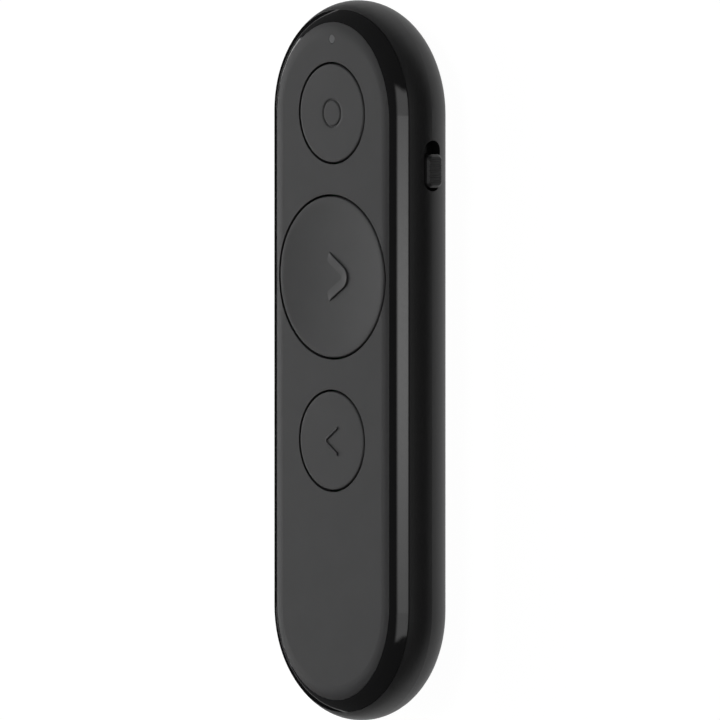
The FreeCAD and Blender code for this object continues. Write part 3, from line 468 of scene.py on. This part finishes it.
def make_cap(name, finish):
    """One button cap with its rounded edge, stem, feet and mark."""
    cap = CAPS[name]
    bm = bmesh.new()
    turn_outline(bm, cap_outline(name), cap["centre_y"], cap["segments"])
    add_lugs(bm, cap["radius"], cap["centre_y"])
    if name == "next":
        add_mark(bm, name, NEXT_MARK, NEXT_RIDGE)
    if name == "back":
        add_mark(bm, name, BACK_MARK, BACK_RIDGE)
    bmesh.ops.recalc_face_normals(bm, faces=bm.faces)
    bmesh.ops.scale(bm, vec=(MM, MM, MM), verts=bm.verts)
    for face in bm.faces:
        face.smooth = True
    piece = add_object(name + "_cap", bm)
    piece.data.set_sharp_from_angle(angle=math.radians(SHARP_ANGLE))
    piece.data.materials.append(finish)
    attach(piece, cap["body"])
    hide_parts(name + "_button")


def camera_axes():
    """Unit vectors from the object to the camera, to the picture's right and to its top."""
    turn, rise = CAMERA_TURN, CAMERA_RISE
    back = Vector((math.sin(turn) * math.cos(rise), math.sin(rise), math.cos(turn) * math.cos(rise)))
    right = Vector((0, 1, 0)).cross(back).normalized()
    return back, right, back.cross(right)


def place_camera():
    """A long lens, whose picture is exact in the plane of the front face."""
    back, right, top = camera_axes()
    data = bpy.data.cameras.new("photo_camera")
    data.sensor_width = SENSOR_WIDTH
    data.lens = SENSOR_WIDTH * CAMERA_DISTANCE / PICTURE_WIDTH
    data.clip_start = 0.1
    data.clip_end = 4 * CAMERA_DISTANCE
    camera = bpy.data.objects.new("photo_camera", data)
    bpy.context.scene.collection.objects.link(camera)
    aim = Vector((0, 0, FACE_Z)) + right * PICTURE_RIGHT + top * PICTURE_UP
    camera.location = aim + back * CAMERA_DISTANCE
    camera.rotation_euler = Matrix((right, top, back)).transposed().to_euler()
    bpy.context.scene.camera = camera


def softbox(name, turn, rise, distance, width, height, brightness):
    """A flat lamp that faces the object. Turn is about Y from the face's normal, towards +X."""
    turn, rise = math.radians(turn), math.radians(rise)
    away = Vector((math.sin(turn) * math.cos(rise), math.sin(rise), math.cos(turn) * math.cos(rise)))
    data = bpy.data.lights.new(name, "AREA")
    data.shape = "RECTANGLE"
    data.size = width
    data.size_y = height
    data.energy = brightness * math.pi * width * height
    lamp = bpy.data.objects.new(name, data)
    bpy.context.scene.collection.objects.link(lamp)
    lamp.location = Vector((0, 0, FACE_Z)) + away * distance
    side = Vector((0, 1, 0)).cross(away).normalized()
    lamp.rotation_mode = "QUATERNION"
    lamp.rotation_quaternion = Matrix((side, away.cross(side), away)).transposed().to_quaternion()
    return lamp


def soften_strip(lamp):
    """Fades the strip towards its sides and ends, and above and below its bright middle."""
    lamp.data.use_nodes = True
    tree = lamp.data.node_tree
    place = tree.nodes.new("ShaderNodeNewGeometry")
    split = tree.nodes.new("ShaderNodeSeparateXYZ")
    tree.links.new(place.outputs["Parametric"], split.inputs[0])
    product = None
    for axis, near, far, far_level in (("X", 0.5 - STRIP_SIDE_FADE, 0.5, 0.0),
                                       ("Y", 0.0, STRIP_CORE, STRIP_OUTER_LEVEL),
                                       ("Y", 0.5 - STRIP_END_FADE, 0.5, 0.0)):
        from_middle = add_math(tree, "ABSOLUTE", add_math(tree, "SUBTRACT", split.outputs[axis], 0.5))
        level = tree.nodes.new("ShaderNodeMapRange")
        level.interpolation_type = "SMOOTHSTEP"
        level.inputs["From Min"].default_value = near
        level.inputs["From Max"].default_value = far
        level.inputs["To Min"].default_value = 1.0
        level.inputs["To Max"].default_value = far_level
        tree.links.new(from_middle, level.inputs["Value"])
        result = level.outputs["Result"]
        product = result if product is None else add_math(tree, "MULTIPLY", product, result)
    tree.links.new(product, tree.nodes["Emission"].inputs["Strength"])


def lay_flag(name, x0, x1):
    """A black card on the floor that only reflections and bounced light see."""
    bm = bmesh.new()
    half = CARD_HALF_LENGTH
    corners = [(x0, -half), (x1, -half), (x1, half), (x0, half)]
    bm.faces.new([bm.verts.new((x, y, CARD_LIFT)) for x, y in corners])
    flag = add_object(name, bm)
    nodes = Nodes(name)
    nodes.matte(CARD_SHADE)
    flag.data.materials.append(nodes.material)
    flag.visible_camera = False
    flag.visible_shadow = False


def light_studio():
    """A strip for the gloss, a key and a side lamp at the left, cards on the floor and a dim room."""
    strip = softbox("strip_softbox", *STRIP_SOFTBOX)
    strip.visible_diffuse = False
    soften_strip(strip)
    key = softbox("key_softbox", *KEY_SOFTBOX)
    key.visible_glossy = False
    softbox("left_softbox", *LEFT_SOFTBOX)
    lay_flag("left_flag", -LEFT_CARD_REACH, -CARD_GAP)
    lay_flag("right_flag", CARD_GAP, RIGHT_CARD_REACH)
    world = bpy.data.worlds.new("studio")
    bpy.context.scene.world = world
    world.use_nodes = True
    tree = world.node_tree
    sky = tree.nodes["Background"]
    sky.inputs["Color"].default_value = (1, 1, 1, 1)
    sky.inputs["Strength"].default_value = ROOM_LEVEL
    white = tree.nodes.new("ShaderNodeBackground")
    white.inputs["Color"].default_value = (1, 1, 1, 1)
    white.inputs["Strength"].default_value = 1.0
    path = tree.nodes.new("ShaderNodeLightPath")
    mix = tree.nodes.new("ShaderNodeMixShader")
    tree.links.new(path.outputs["Is Camera Ray"], mix.inputs[0])
    tree.links.new(sky.outputs[0], mix.inputs[1])
    tree.links.new(white.outputs[0], mix.inputs[2])
    tree.links.new(mix.outputs[0], tree.nodes["World Output"].inputs[0])


def lay_floor():
    """A white floor that keeps a soft shadow, and can be seen through from below."""
    bm = bmesh.new()
    bmesh.ops.create_grid(bm, x_segments=1, y_segments=1, size=FLOOR_HALF)
    floor = add_object("floor", bm)
    nodes = Nodes("floor_white")
    nodes.matte(FLOOR_SHADE)
    glow = nodes.add("ShaderNodeEmission")
    glow.inputs["Strength"].default_value = FLOOR_GLOW
    path = nodes.add("ShaderNodeLightPath")
    seen = path.outputs["Is Camera Ray"]
    for kind in ("Is Glossy Ray", "Is Transmission Ray"):
        seen = add_math(nodes.tree, "MAXIMUM", seen, path.outputs[kind])
    lit = nodes.add("ShaderNodeMixShader")
    nodes.link(add_math(nodes.tree, "MULTIPLY", seen, FLOOR_GLOW_SHARE), lit.inputs[0])
    nodes.link(nodes.shader.outputs[0], lit.inputs[1])
    nodes.link(glow.outputs[0], lit.inputs[2])
    under = nodes.add("ShaderNodeBsdfTransparent")
    side = nodes.add("ShaderNodeNewGeometry")
    both = nodes.add("ShaderNodeMixShader")
    nodes.link(side.outputs["Backfacing"], both.inputs[0])
    nodes.link(lit.outputs[0], both.inputs[1])
    nodes.link(under.outputs[0], both.inputs[2])
    nodes.link(both.outputs[0], nodes.output.inputs["Surface"])
    floor.data.materials.append(nodes.material)


place_camera()
light_studio()
lay_floor()
finish = finishes()
dress(finish)
for name in CAPS:
    make_cap(name, finish["button"])
bpy.context.scene.view_settings.view_transform = "Standard"
